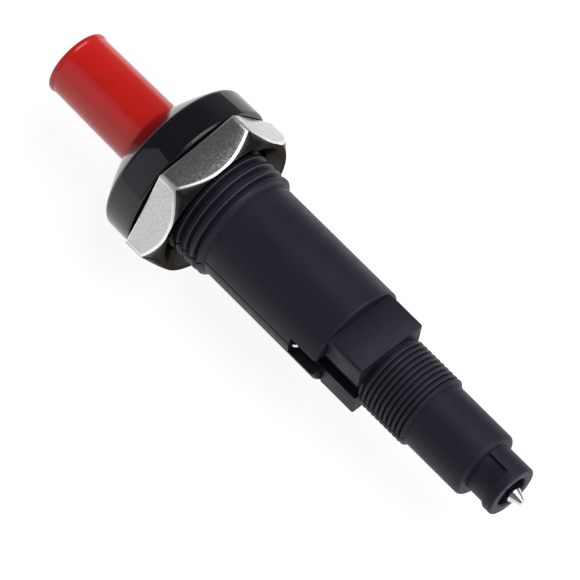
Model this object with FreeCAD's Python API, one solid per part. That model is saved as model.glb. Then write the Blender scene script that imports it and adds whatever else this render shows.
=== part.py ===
import FreeCAD, Part
import math
import os

from FreeCAD import Vector

# Push-button piezo igniter, in millimetres.
# The axis lies along Y: the button points to -Y and the electrode to +Y.
# The origin is on the axis, in the plane of the flange's rear seat. +Z is the block's upper flat.
# In a turned outline each point is (y, radius).

# Across the axis the sizes grow outwards from the hammer and from the crystals.

# Bezel and threaded stem, drawn at the crests (G 1/2 parallel thread, 20.955 across)
FLANGE_REACH = 4.5225
RIM_LENGTH = 5.7
RIM_REAR_CHAMFER = 0.3
DOME_HEIGHT = 5.1
DOME_BULGE = 0.5
DOME_STEPS = 3
BUTTON_HOLE_GAP = 0.25
DOME_WALL = 2.6
STEM_THREAD_STEP = 0.9775
STEM_THREAD_DEPTH = 0.93
STEM_THREAD_END = 12.2
STEM_THREAD_RELIEF = 1.2
RELIEF_EXTRA = 0.08

# Barrel
BARREL_WALL = 1.6
BARREL_END_CHAMFER = 0.5
BARREL_LAP = 0.65
WINDOW_LEAD = 5.05
WINDOW_WIDTH = 4.4

# Panel nut
NUT_INSET = 1.0
NUT_THICKNESS = 6.2
NUT_GAP = 0.3
NUT_CORNER_BREAK = 0.17
NUT_CHAMFER_DEG = 50.0
NUT_TURN_DEG = 8.0
NUT_BORE_GAP = 0.1
NUT_BORE_CHAMFER = 0.5

# Button
COLLAR_STEP = 1.4
BUTTON_DRAFT = 0.2
BUTTON_LIP_STEP = 0.19
BUTTON_LIP_HEIGHT = 0.8
BUTTON_REACH = 19.1
BUTTON_TOP_WALL = 2.6
BUTTON_EDGE_CHAMFER = 0.25
BUTTON_TRAVEL = 10.0
COLLAR_LENGTH = 2.7
COLLAR_GAP = 0.3
STOP_GAP = 0.1
STEM_SHOULDER = 1.45

# Cam sleeve, pushed into the button, and its slots
STEM_STEP = 0.2
STEM_SEAT_GAP = 0.05
STEM_WALL = 1.05
STEM_LENGTH = 14.6
STEM_END_WALL = 1.6
SKIRT_WALL = 1.2
SKIRT_OVERHANG = 2.0
RUNNING_GAP = 0.1
CAM_SHIFT = 2.0
CAM_RAMP_LENGTH = 4.0
SKIRT_END_GAP = 0.5

# Hammer and its cross pin
HAMMER_D = 9.2
HAMMER_LENGTH = 12.0
HAMMER_PILOT_LENGTH = 2.0
HAMMER_CHAMFER = 0.4
HAMMER_LEAD = 1.0
HAMMER_BACK_GAP = 0.2
PIN_D = 1.9
PIN_END_GAP = 0.55
PIN_PLACE = 4.0
PIN_SLOT_GAP = 0.1
PIN_BORE_GAP = 0.01
PIN_CHAMFER = 0.2
HAMMER_STROKE = 7.0
STRIKE_GAP = 0.05

# Guide sleeve, fixed in the barrel
GUIDE_FRONT = 12.0
GUIDE_SEAT_GAP = 0.05
GUIDE_WALL = 1.85
SPIGOT_LENGTH = 6.5

# Springs, of square wire
SPRING_SEAT_GAP = 0.1
CLOSED_TURN_GAP = 0.04
COIL_SIDES = 16
RETURN_SPRING_WIRE = 0.8
RETURN_SPRING_TURNS = 5
IMPACT_SPRING_GAP = 0.34
PILOT_GAP = 0.29
IMPACT_SPRING_WIRE = 0.62
IMPACT_SPRING_TURNS = 8

# Rear insulator: spigot, block, rear thread drawn at its crests (M14 x 1), neck and nozzle
SPIGOT_WALL = 0.9
BLOCK_INSET = 0.1
BLOCK_LENGTH = 7.7
BLOCK_EDGE_ROUND = 1.2
BLOCK_END_ROUND = 0.4
GROOVE_WIDTH = 4.1
GROOVE_DEPTH = 1.6
GROOVE_LEAD = 0.5
REAR_WALL = 2.65
REAR_THREAD_DEPTH = 0.62
REAR_THREAD_LENGTH = 11.0
REAR_THREAD_RELIEF = 0.6
NECK_STEP = 0.675
NECK_LENGTH = 12.3
NECK_END_CHAMFER = 0.6
NOZZLE_WALL = 1.95
NOZZLE_LENGTH = 6.0
NOZZLE_CHAMFER = 0.25
NOZZLE_RELIEF_DEPTH = 0.5
NOZZLE_RELIEF_LENGTH = 3.4
NOZZLE_RELIEF_SLOPE = 0.9
SOCKET_D = 5.9
SOCKET_DEPTH = 9.1

# Anvil, ground strip, crystals, contact and electrode
ANVIL_NOSE_STEP = 0.3
ANVIL_FLANGE_GAP = 0.35
ANVIL_FLANGE_LENGTH = 1.5
ANVIL_STEM_LENGTH = 2.45
ANVIL_CHAMFER = 0.4
STRIP_THICKNESS = 0.45
STRIP_WIDTH = 3.0
STRIP_HOLE_GAP = 0.3
STRIP_STANDOFF = 0.35
ELBOW_LAP = 0.4
TONGUE_WIDTH = 2.0
TONGUE_PLACE = 1.0
TONGUE_TURN_DEG = 52.0
TONGUE_INSET = 0.35
TONGUE_CORNER_ROUND = 0.5
CRYSTAL_D = 6.2
CRYSTAL_LENGTH = 8.8
SHIM_THICKNESS = 0.3
TUBE_WALL = 1.15
SLUG_LENGTH = 2.2
DIMPLE_DEPTH = 0.5
SEAT_GAP = 0.05
ELECTRODE_D = 2.46
ELECTRODE_SHANK_D = 3.2
ELECTRODE_HEAD_INSET = 0.5
ELECTRODE_HEAD_LENGTH = 1.4
ELECTRODE_REACH = 2.5
ELECTRODE_CONE = 2.1
ELECTRODE_TIP_D = 0.5
ELECTRODE_BORE_GAP = 0.02

# How far a cutter reaches past the face it opens
CUT_OVER = 1.0

# Stations along the axis
RIM_FRONT = -RIM_LENGTH
DOME_FRONT = RIM_FRONT - DOME_HEIGHT
STOP_FACE = DOME_FRONT + DOME_WALL
BUTTON_TOP = DOME_FRONT - BUTTON_REACH
COLLAR_FRONT = STOP_FACE + STOP_GAP
COLLAR_REAR = COLLAR_FRONT + COLLAR_LENGTH
STEM_FRONT = COLLAR_REAR - STEM_LENGTH
HAMMER_FRONT = GUIDE_FRONT - HAMMER_LEAD
SKIRT_BORE_FRONT = HAMMER_FRONT - BUTTON_TRAVEL - HAMMER_BACK_GAP
HAMMER_REAR = HAMMER_FRONT + HAMMER_LENGTH
SKIRT_REAR = HAMMER_REAR + SKIRT_OVERHANG
PIN_Y = HAMMER_FRONT + PIN_PLACE
ANVIL_FRONT = HAMMER_REAR + HAMMER_STROKE + STRIKE_GAP
GUIDE_REAR = SKIRT_REAR + BUTTON_TRAVEL + SKIRT_END_GAP
GUIDE_STEP = GUIDE_REAR - SPIGOT_LENGTH
FLANGE_SEAT = GUIDE_REAR + ANVIL_FLANGE_LENGTH
CHAMBER_FRONT = FLANGE_SEAT + STRIP_THICKNESS
WINDOW_FRONT = CHAMBER_FRONT - WINDOW_LEAD
BARREL_END = CHAMBER_FRONT + BARREL_LAP
BLOCK_FRONT = BARREL_END
BLOCK_REAR = BLOCK_FRONT + BLOCK_LENGTH
NECK_FRONT = BLOCK_REAR + REAR_THREAD_LENGTH
NECK_REAR = NECK_FRONT + NECK_LENGTH
NOZZLE_END = NECK_REAR + NOZZLE_LENGTH
SOCKET_FLOOR = NOZZLE_END - SOCKET_DEPTH
CRYSTAL_FRONT = FLANGE_SEAT + ANVIL_STEM_LENGTH
SHIM_FRONT = CRYSTAL_FRONT + CRYSTAL_LENGTH
REAR_CRYSTAL_FRONT = SHIM_FRONT + SHIM_THICKNESS
SLUG_FRONT = REAR_CRYSTAL_FRONT + CRYSTAL_LENGTH
CHAMBER_REAR = SLUG_FRONT + SLUG_LENGTH
HEAD_REAR = CHAMBER_REAR + ELECTRODE_HEAD_LENGTH
ELECTRODE_END = NOZZLE_END + ELECTRODE_REACH

# Radii, outwards from the hammer
HAMMER_R = HAMMER_D / 2
SKIRT_BORE_R = HAMMER_R + RUNNING_GAP
SKIRT_R = SKIRT_BORE_R + SKIRT_WALL
GUIDE_INNER_R = SKIRT_R + RUNNING_GAP
GUIDE_R = GUIDE_INNER_R + GUIDE_WALL
BORE_R = GUIDE_R + GUIDE_SEAT_GAP
BARREL_R = BORE_R + BARREL_WALL
STEM_THREAD_R = BARREL_R + STEM_THREAD_STEP
FLANGE_R = STEM_THREAD_R + FLANGE_REACH
NUT_FLAT_R = FLANGE_R - NUT_INSET
COLLAR_R = BORE_R - COLLAR_GAP
BUTTON_ROOT_R = COLLAR_R - COLLAR_STEP
HOLE_R = BUTTON_ROOT_R + BUTTON_HOLE_GAP
STEM_R = HAMMER_R - STEM_STEP
STEM_BORE_R = STEM_R - STEM_WALL
IMPACT_SPRING_R = STEM_BORE_R - IMPACT_SPRING_GAP - IMPACT_SPRING_WIRE / 2
PILOT_R = IMPACT_SPRING_R - IMPACT_SPRING_WIRE / 2 - PILOT_GAP
RETURN_SPRING_R = (SKIRT_R + BORE_R) / 2
SPIGOT_INNER_R = GUIDE_R - SPIGOT_WALL
ANVIL_FLANGE_R = SPIGOT_INNER_R - ANVIL_FLANGE_GAP
FLANGE_POCKET_R = ANVIL_FLANGE_R + SEAT_GAP

# Radii, outwards from the crystals and the electrode
CRYSTAL_R = CRYSTAL_D / 2
TUBE_R = CRYSTAL_R + SEAT_GAP + TUBE_WALL
CHAMBER_R = TUBE_R + SEAT_GAP
REAR_THREAD_R = CHAMBER_R + REAR_WALL
NECK_R = REAR_THREAD_R - NECK_STEP
BLOCK_HALF = REAR_THREAD_R - BLOCK_INSET
SOCKET_R = SOCKET_D / 2
NOZZLE_R = SOCKET_R + NOZZLE_WALL
HEAD_R = CRYSTAL_R - ELECTRODE_HEAD_INSET
SLOT_HALF = PIN_D / 2 + PIN_SLOT_GAP

AXIS = Vector(0, 1, 0)
ORIGIN = Vector(0, 0, 0)


def crowned(a, b, bulge, steps):
    """Points from a to b on a shallow crown that stands out to the left of the line by bulge."""
    along = (b[0] - a[0], b[1] - a[1])
    chord = math.hypot(*along)
    out = (-along[1] / chord, along[0] / chord)
    points = []
    for step in range(steps + 1):
        part = step / steps
        rise = 4 * bulge * part * (1 - part)
        points.append((a[0] + part * along[0] + rise * out[0], a[1] + part * along[1] + rise * out[1]))
    return points


def turned(points):
    """A solid of revolution about Y from a closed outline of (y, radius) points."""
    outline = [Vector(radius, y, 0) for y, radius in points]
    return Part.Face(Part.makePolygon(outline + outline[:1])).revolve(ORIGIN, AXIS, 360)


def tube(y0, y1, outer_r, inner_r=0.0):
    """A straight tube or rod along the axis."""
    body = Part.makeCylinder(outer_r, y1 - y0, Vector(0, y0, 0), AXIS)
    if inner_r > 0:
        body = body.cut(Part.makeCylinder(inner_r, y1 - y0, Vector(0, y0, 0), AXIS))
    return body


def box(x, y, z):
    """A box from its (low, high) spans along X, Y and Z."""
    corner = Vector(x[0], y[0], z[0])
    return Part.makeBox(x[1] - x[0], y[1] - y[0], z[1] - z[0], corner)


def long_edges(shape, y0, y1):
    """The straight edges that run from one station to another."""
    found = []
    for edge in shape.Edges:
        if isinstance(edge.Curve, Part.Line) and len(edge.Vertexes) == 2:
            low, high = sorted(v.Point.y for v in edge.Vertexes)
            if abs(low - y0) < 1e-4 and abs(high - y1) < 1e-4:
                found.append(edge)
    return found


def coil_spring(radius, wire, turns, y0, y1):
    """A coil of square wire between two seats, with one closed turn at each end.

    The wire runs in short straight lengths, COIL_SIDES to a turn.
    """
    half = wire / 2
    first, last = y0 + SPRING_SEAT_GAP + half, y1 - SPRING_SEAT_GAP - half
    closed = (wire + CLOSED_TURN_GAP) / COIL_SIDES
    rise = (last - first - 2 * closed * COIL_SIDES) / (turns * COIL_SIDES)
    steps = [closed] * COIL_SIDES + [rise] * (turns * COIL_SIDES) + [closed] * COIL_SIDES
    corners = ((-half, -half), (half, -half), (half, half), (-half, half), (-half, -half))
    rings = []
    y = first
    for index, step in enumerate([0] + steps):
        y += step
        angle = 2 * math.pi * index / COIL_SIDES
        out = Vector(math.cos(angle), 0, -math.sin(angle))
        rings.append(Part.makePolygon([out * (radius + dx) + Vector(0, y + dy, 0) for dx, dy in corners]))
    return Part.makeLoft(rings, True, True)


def pin_slot(outline, sign, reach):
    """A slot cut through one wall, up for sign 1 or down for sign -1, from an (x, y) outline."""
    points = [Vector(sign * x, y, 0) for x, y in outline]
    face = Part.Face(Part.makePolygon(points + points[:1]))
    return face.extrude(Vector(0, 0, sign * reach))


def make_front_sleeve():
    """Domed bezel, threaded stem and barrel, one moulding."""
    relief_r = STEM_THREAD_R - STEM_THREAD_DEPTH - RELIEF_EXTRA
    sleeve = turned([
        *crowned((DOME_FRONT, HOLE_R), (RIM_FRONT, FLANGE_R), DOME_BULGE, DOME_STEPS),
        (-RIM_REAR_CHAMFER, FLANGE_R),
        (0, FLANGE_R - RIM_REAR_CHAMFER),
        (0, relief_r),
        (STEM_THREAD_RELIEF, relief_r),
        (STEM_THREAD_RELIEF + STEM_THREAD_DEPTH, STEM_THREAD_R),
        (STEM_THREAD_END - STEM_THREAD_STEP, STEM_THREAD_R),
        (STEM_THREAD_END, BARREL_R),
        (BARREL_END - BARREL_END_CHAMFER, BARREL_R),
        (BARREL_END, BARREL_R - BARREL_END_CHAMFER),
        (BARREL_END, BORE_R),
        (STOP_FACE, BORE_R),
        (STOP_FACE, HOLE_R),
    ])
    side = WINDOW_WIDTH / 2
    window = box((BORE_R / 2, BARREL_R + CUT_OVER), (WINDOW_FRONT, BARREL_END + CUT_OVER), (-side, side))
    return sleeve.cut(window)


def make_panel_nut():
    """Hexagon nut with broken corners and a turned chamfer on its rear side."""
    corner_r = NUT_FLAT_R / math.cos(math.radians(30))
    turned_r = corner_r - NUT_CORNER_BREAK
    y0, y1 = NUT_GAP, NUT_GAP + NUT_THICKNESS
    corners = []
    for step in range(7):
        angle = math.radians(60 * step - NUT_TURN_DEG)
        corners.append(Vector(corner_r * math.cos(angle), y0, corner_r * math.sin(angle)))
    hexagon = Part.Face(Part.makePolygon(corners)).extrude(Vector(0, NUT_THICKNESS, 0))
    slope = math.tan(math.radians(NUT_CHAMFER_DEG))
    drop = (turned_r - NUT_FLAT_R) * slope
    bore_r = STEM_THREAD_R + NUT_BORE_GAP
    blank = turned([
        (y0, bore_r + NUT_BORE_CHAMFER),
        (y0, turned_r),
        (y1 - drop, turned_r),
        (y1, NUT_FLAT_R),
        (y1, bore_r + NUT_BORE_CHAMFER),
        (y1 - NUT_BORE_CHAMFER, bore_r),
        (y0 + NUT_BORE_CHAMFER, bore_r),
    ])
    return hexagon.common(blank)


def make_push_button():
    """Red button with draft, a thin lip at the top and a retaining collar."""
    top_r = BUTTON_ROOT_R - BUTTON_DRAFT
    lip_r = top_r + BUTTON_LIP_STEP
    seat_r = STEM_R + STEM_SEAT_GAP
    core_r = seat_r - STEM_SHOULDER
    core_end = BUTTON_TOP + BUTTON_TOP_WALL
    lip_end = BUTTON_TOP + BUTTON_LIP_HEIGHT
    return turned([
        (BUTTON_TOP, 0),
        (BUTTON_TOP, lip_r - BUTTON_EDGE_CHAMFER),
        (BUTTON_TOP + BUTTON_EDGE_CHAMFER, lip_r),
        (lip_end, lip_r),
        (lip_end + (lip_r - top_r), top_r),
        (DOME_FRONT, BUTTON_ROOT_R),
        (COLLAR_FRONT, BUTTON_ROOT_R),
        (COLLAR_FRONT, COLLAR_R),
        (COLLAR_REAR, COLLAR_R),
        (COLLAR_REAR, seat_r),
        (STEM_FRONT, seat_r),
        (STEM_FRONT, core_r),
        (core_end, core_r),
        (core_end, 0),
    ])


def make_cam_sleeve():
    """Plunger sleeve: a stem in the button and a slotted skirt round the hammer."""
    sleeve = turned([
        (STEM_FRONT, 0),
        (STEM_FRONT, STEM_R),
        (COLLAR_REAR, STEM_R),
        (COLLAR_REAR, SKIRT_R),
        (SKIRT_REAR, SKIRT_R),
        (SKIRT_REAR, SKIRT_BORE_R),
        (SKIRT_BORE_FRONT, SKIRT_BORE_R),
        (SKIRT_BORE_FRONT, STEM_BORE_R),
        (STEM_FRONT + STEM_END_WALL, STEM_BORE_R),
        (STEM_FRONT + STEM_END_WALL, 0),
    ])
    slot_front = PIN_Y - BUTTON_TRAVEL - SLOT_HALF
    slot_rear = PIN_Y + SLOT_HALF
    outline = [
        (-SLOT_HALF, slot_front),
        (SLOT_HALF, slot_front),
        (SLOT_HALF + CAM_SHIFT, slot_front + CAM_RAMP_LENGTH),
        (SLOT_HALF + CAM_SHIFT, slot_rear),
        (-SLOT_HALF, slot_rear),
    ]
    for sign in (1, -1):
        sleeve = sleeve.cut(pin_slot(outline, sign, SKIRT_R + CUT_OVER))
    return sleeve


def make_guide_sleeve():
    """Fixed sleeve with a latch pocket beside each of its two pin slots."""
    guide = turned([
        (GUIDE_FRONT, GUIDE_INNER_R),
        (GUIDE_FRONT, GUIDE_R),
        (GUIDE_STEP, GUIDE_R),
        (GUIDE_STEP, SPIGOT_INNER_R - SEAT_GAP),
        (GUIDE_REAR, SPIGOT_INNER_R - SEAT_GAP),
        (GUIDE_REAR, GUIDE_INNER_R),
    ])
    slot_front = PIN_Y - SLOT_HALF
    ledge = PIN_Y + SLOT_HALF
    slot_rear = PIN_Y + HAMMER_STROKE + SLOT_HALF
    outline = [
        (-SLOT_HALF, slot_front),
        (SLOT_HALF + CAM_SHIFT, slot_front),
        (SLOT_HALF + CAM_SHIFT, ledge),
        (SLOT_HALF, ledge),
        (SLOT_HALF, slot_rear),
        (-SLOT_HALF, slot_rear),
    ]
    for sign in (1, -1):
        guide = guide.cut(pin_slot(outline, sign, GUIDE_R + CUT_OVER))
    return guide


def make_hammer():
    """Steel slug with a spring pilot, drilled across for its pin."""
    front, rear = HAMMER_FRONT, HAMMER_REAR
    hammer = turned([
        (front - HAMMER_PILOT_LENGTH, 0),
        (front - HAMMER_PILOT_LENGTH, PILOT_R - HAMMER_CHAMFER),
        (front - HAMMER_PILOT_LENGTH + HAMMER_CHAMFER, PILOT_R),
        (front, PILOT_R),
        (front, HAMMER_R - HAMMER_CHAMFER),
        (front + HAMMER_CHAMFER, HAMMER_R),
        (rear - HAMMER_CHAMFER, HAMMER_R),
        (rear, HAMMER_R - HAMMER_CHAMFER),
        (rear, 0),
    ])
    reach = HAMMER_R + CUT_OVER
    drill = Part.makeCylinder(PIN_D / 2 + PIN_BORE_GAP, 2 * reach, Vector(0, PIN_Y, -reach))
    return hammer.cut(drill)


def make_hammer_pin():
    reach = GUIDE_R - PIN_END_GAP
    pin = Part.makeCylinder(PIN_D / 2, 2 * reach, Vector(0, PIN_Y, -reach))
    return pin.makeChamfer(PIN_CHAMFER, [e for e in pin.Edges if isinstance(e.Curve, Part.Circle)])


def turned_outside():
    """The turned outside of the rear insulator."""
    relief_r = REAR_THREAD_R - REAR_THREAD_DEPTH - RELIEF_EXTRA
    return turned([
        (GUIDE_STEP, 0),
        (GUIDE_STEP, GUIDE_R),
        (BLOCK_FRONT, GUIDE_R),
        (BLOCK_FRONT, relief_r),
        (BLOCK_REAR + REAR_THREAD_RELIEF, relief_r),
        (BLOCK_REAR + REAR_THREAD_RELIEF + REAR_THREAD_DEPTH / 2, REAR_THREAD_R),
        (NECK_FRONT - NECK_STEP, REAR_THREAD_R),
        (NECK_FRONT, NECK_R),
        (NECK_REAR - NECK_END_CHAMFER, NECK_R),
        (NECK_REAR, NECK_R - NECK_END_CHAMFER),
        (NECK_REAR, NOZZLE_R),
        (NOZZLE_END - NOZZLE_CHAMFER, NOZZLE_R),
        (NOZZLE_END, NOZZLE_R - NOZZLE_CHAMFER),
        (NOZZLE_END, 0),
    ])


def square_block():
    """The square block between the barrel and the rear thread."""
    half = BLOCK_HALF
    block = box((-half, half), (BLOCK_FRONT, BLOCK_REAR), (-half, half))
    block = block.makeFillet(BLOCK_EDGE_ROUND, long_edges(block, BLOCK_FRONT, BLOCK_REAR))
    end_edges = [e for e in block.Edges if all(abs(v.Point.y - BLOCK_REAR) < 1e-4 for v in e.Vertexes)]
    return block.makeFillet(BLOCK_END_ROUND, end_edges)


def stepped_bore():
    """Bore for the guide sleeve, the crystals, the electrode and the cable's socket."""
    head_r = HEAD_R + SEAT_GAP
    shank_r = ELECTRODE_SHANK_D / 2 + ELECTRODE_BORE_GAP
    return turned([
        (GUIDE_STEP - CUT_OVER, 0),
        (GUIDE_STEP - CUT_OVER, SPIGOT_INNER_R),
        (GUIDE_REAR, SPIGOT_INNER_R),
        (GUIDE_REAR, FLANGE_POCKET_R),
        (CHAMBER_FRONT, FLANGE_POCKET_R),
        (CHAMBER_FRONT, CHAMBER_R),
        (CHAMBER_REAR, CHAMBER_R),
        (CHAMBER_REAR, head_r),
        (HEAD_REAR, head_r),
        (HEAD_REAR, shank_r),
        (SOCKET_FLOOR, shank_r),
        (SOCKET_FLOOR, SOCKET_R),
        (NOZZLE_END + CUT_OVER, SOCKET_R),
        (NOZZLE_END + CUT_OVER, 0),
    ])


def nozzle_waist():
    """The relief round the front half of the nozzle."""
    relief_r = NOZZLE_R - NOZZLE_RELIEF_DEPTH
    cutter_r = NOZZLE_R + CUT_OVER
    slope_start = NECK_REAR + NOZZLE_RELIEF_LENGTH
    slope_end = slope_start + NOZZLE_RELIEF_SLOPE
    ring = turned([
        (NECK_REAR, relief_r),
        (NECK_REAR, cutter_r),
        (slope_end, cutter_r),
        (slope_end, NOZZLE_R),
        (slope_start, relief_r),
    ])
    return ring.common(box((0, 2 * cutter_r), (NECK_REAR, NOZZLE_END), (-2 * cutter_r, 2 * cutter_r)))


def make_rear_insulator():
    """Spigot, square block, threaded neck and nozzle, one moulding."""
    body = turned_outside().fuse(square_block()).cut(stepped_bore())
    half, side = BLOCK_HALF, GROOVE_WIDTH / 2
    floor = half - GROOVE_DEPTH
    block_groove = box((floor, half + CUT_OVER), (CHAMBER_FRONT, BLOCK_REAR), (-side, side))
    spigot_groove = box((floor, GUIDE_R + CUT_OVER), (WINDOW_FRONT - GROOVE_LEAD, CHAMBER_FRONT), (-side, side))
    return body.cut([block_groove, spigot_groove, nozzle_waist()])


def make_anvil():
    """Steel striking piece: chamfered nose, flange and a stem on the first crystal."""
    nose_r = HAMMER_R - ANVIL_NOSE_STEP
    return turned([
        (ANVIL_FRONT, 0),
        (ANVIL_FRONT, nose_r - ANVIL_CHAMFER),
        (ANVIL_FRONT + ANVIL_CHAMFER, nose_r),
        (GUIDE_REAR, nose_r),
        (GUIDE_REAR, ANVIL_FLANGE_R),
        (FLANGE_SEAT, ANVIL_FLANGE_R),
        (FLANGE_SEAT, CRYSTAL_R),
        (CRYSTAL_FRONT, CRYSTAL_R),
        (CRYSTAL_FRONT, 0),
    ])


def make_ground_strip():
    """Washer behind the anvil's flange, an arm along the groove and a tongue in the window."""
    inner_x = FLANGE_POCKET_R + STRIP_STANDOFF
    washer = tube(FLANGE_SEAT, CHAMBER_FRONT, ANVIL_FLANGE_R, CRYSTAL_R + STRIP_HOLE_GAP)
    half = STRIP_WIDTH / 2
    elbow_x = (ANVIL_FLANGE_R - ELBOW_LAP, inner_x + STRIP_THICKNESS)
    elbow = box(elbow_x, (FLANGE_SEAT, CHAMBER_FRONT), (-half, half))
    tongue_y = WINDOW_FRONT + TONGUE_PLACE
    arm = box((inner_x, inner_x + STRIP_THICKNESS), (tongue_y, CHAMBER_FRONT), (-half, half))
    reach = BARREL_R - TONGUE_INSET
    tongue = box(
        (inner_x, reach),
        (-TONGUE_WIDTH / 2, TONGUE_WIDTH / 2),
        (-STRIP_THICKNESS / 2, STRIP_THICKNESS / 2),
    )
    corners = [
        edge for edge in tongue.Edges
        if abs(edge.BoundBox.XMin - reach) < 1e-4 and edge.BoundBox.YLength < 1e-4
    ]
    tongue = tongue.makeFillet(TONGUE_CORNER_ROUND, corners)
    tongue.rotate(ORIGIN, Vector(1, 0, 0), TONGUE_TURN_DEG)
    tongue.translate(Vector(0, tongue_y, half - TONGUE_WIDTH / 4))
    return washer.fuse([elbow, arm, tongue]).removeSplitter()


def make_contact_slug():
    """Brass backing piece with a shallow dimple for the electrode's head."""
    return turned([
        (SLUG_FRONT, 0),
        (SLUG_FRONT, CRYSTAL_R),
        (CHAMBER_REAR, CRYSTAL_R),
        (CHAMBER_REAR, HEAD_R / 2),
        (CHAMBER_REAR - DIMPLE_DEPTH, 0),
    ])


def make_electrode():
    """Headed pin with a thicker shank in the insulator and a conical point."""
    radius, shank_r = ELECTRODE_D / 2, ELECTRODE_SHANK_D / 2
    tip_r = ELECTRODE_TIP_D / 2
    return turned([
        (CHAMBER_REAR, 0),
        (CHAMBER_REAR, HEAD_R),
        (HEAD_REAR, HEAD_R),
        (HEAD_REAR, shank_r),
        (SOCKET_FLOOR, shank_r),
        (SOCKET_FLOOR, radius),
        (ELECTRODE_END - ELECTRODE_CONE, radius),
        (ELECTRODE_END, tip_r),
        (ELECTRODE_END, 0),
    ])


def build():
    """Every piece of the igniter, by node name."""
    tube_bore = CRYSTAL_R + SEAT_GAP
    return {
        "front_sleeve": make_front_sleeve(),
        "panel_nut": make_panel_nut(),
        "push_button": make_push_button(),
        "cam_sleeve": make_cam_sleeve(),
        "guide_sleeve": make_guide_sleeve(),
        "return_spring": coil_spring(
            RETURN_SPRING_R, RETURN_SPRING_WIRE, RETURN_SPRING_TURNS, COLLAR_REAR, GUIDE_FRONT),
        "impact_spring": coil_spring(
            IMPACT_SPRING_R, IMPACT_SPRING_WIRE, IMPACT_SPRING_TURNS,
            STEM_FRONT + STEM_END_WALL, HAMMER_FRONT),
        "hammer": make_hammer(),
        "hammer_pin": make_hammer_pin(),
        "rear_insulator": make_rear_insulator(),
        "anvil": make_anvil(),
        "ground_strip": make_ground_strip(),
        "crystal_tube": tube(CHAMBER_FRONT, CHAMBER_REAR, TUBE_R, tube_bore),
        "front_crystal": tube(CRYSTAL_FRONT, SHIM_FRONT, CRYSTAL_R),
        "crystal_shim": tube(SHIM_FRONT, REAR_CRYSTAL_FRONT, CRYSTAL_R),
        "rear_crystal": tube(REAR_CRYSTAL_FRONT, SLUG_FRONT, CRYSTAL_R),
        "contact_slug": make_contact_slug(),
        "electrode_pin": make_electrode(),
    }


os.makedirs("parts", exist_ok=True)
for name, shape in build().items():
    shape.exportStep(f"parts/{name}.step")
    print(f"{name:16s} solids {len(shape.Solids)} valid {shape.isValid()} volume {shape.Volume:9.2f}")
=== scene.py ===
import math

import bmesh
import bpy
from mathutils import Matrix, Vector


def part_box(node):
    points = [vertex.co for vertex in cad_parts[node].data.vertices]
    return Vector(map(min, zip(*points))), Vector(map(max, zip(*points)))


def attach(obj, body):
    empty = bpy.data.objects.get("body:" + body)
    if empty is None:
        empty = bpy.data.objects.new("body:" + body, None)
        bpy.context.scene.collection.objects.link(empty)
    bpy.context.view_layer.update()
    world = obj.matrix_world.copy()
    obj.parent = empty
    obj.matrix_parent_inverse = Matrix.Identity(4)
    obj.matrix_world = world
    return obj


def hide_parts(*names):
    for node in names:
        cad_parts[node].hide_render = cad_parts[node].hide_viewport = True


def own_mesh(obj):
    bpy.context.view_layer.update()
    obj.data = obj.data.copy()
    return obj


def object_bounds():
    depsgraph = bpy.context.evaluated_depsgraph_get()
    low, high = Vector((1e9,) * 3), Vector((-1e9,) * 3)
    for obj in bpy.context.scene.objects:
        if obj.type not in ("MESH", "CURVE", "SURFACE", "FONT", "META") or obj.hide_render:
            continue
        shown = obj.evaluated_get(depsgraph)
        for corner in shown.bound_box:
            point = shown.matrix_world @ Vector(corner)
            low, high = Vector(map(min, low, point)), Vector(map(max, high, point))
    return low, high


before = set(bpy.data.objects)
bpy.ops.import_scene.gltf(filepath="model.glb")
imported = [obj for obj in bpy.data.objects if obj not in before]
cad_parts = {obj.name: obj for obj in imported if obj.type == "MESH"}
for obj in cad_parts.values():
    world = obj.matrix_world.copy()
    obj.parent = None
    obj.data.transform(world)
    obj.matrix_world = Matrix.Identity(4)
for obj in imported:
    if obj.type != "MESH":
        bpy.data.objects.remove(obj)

# Push-button piezo igniter: bezel and barrel, nut, button, rear insulator, pin and the two springs.
# Outlines are in millimetres along the axis (Y) and out from it; MM turns them into metres.
MM = 0.001
cad_low, cad_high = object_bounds()


def span(node):
    """The lowest and highest corner of a CAD node in millimetres."""
    low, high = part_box(node)
    return low / MM, high / MM


SLEEVE_LOW, SLEEVE_HIGH = span("front_sleeve")
NUT_LOW, NUT_HIGH = span("panel_nut")
BUTTON_LOW, BUTTON_HIGH = span("push_button")
REAR_LOW, REAR_HIGH = span("rear_insulator")
PIN_LOW, PIN_HIGH = span("electrode_pin")
GUIDE_LOW, GUIDE_HIGH = span("guide_sleeve")
CAM_LOW, CAM_HIGH = span("cam_sleeve")
HAMMER_LOW, HAMMER_HIGH = span("hammer")

# Bezel, stem and barrel
RIM_R = SLEEVE_HIGH.x
RIM_FRONT = -5.7
DOME_FRONT = SLEEVE_LOW.y
DOME_BULGE = 0.3
HOLE_R = 6.45
HOLE_ROUND = 0.25
RIM_FRONT_ROUND = 1.0
RIM_REAR_ROUND = 0.4
FRONT_WALL = 2.6
STOP_FACE = DOME_FRONT + FRONT_WALL
BARREL_R = 9.5
BARREL_ROOT_ROUND = 0.15
BARREL_END_CHAMFER = 0.3
BARREL_END_ROUND = 0.2
BARREL_END = SLEEVE_HIGH.y
BARREL_BORE_R = 7.9
STEM_THREAD_END = 12.2
STEM_CREST_R = 20.955 / 2
STEM_THREAD_DEPTH = 0.9
STEM_ROOT_R = STEM_CREST_R - STEM_THREAD_DEPTH
STEM_PITCH = 1.814
THREAD_START = 0.3
THREAD_LAP = 0.3
WINDOW_FRONT = 32.4
WINDOW_WIDTH = 4.4
SEAM_Z = 0.33
SEAM_HALF_WIDTH = 0.09
SEAM_HEIGHT = 0.07
SEAM_DEPTH = 0.1

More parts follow.
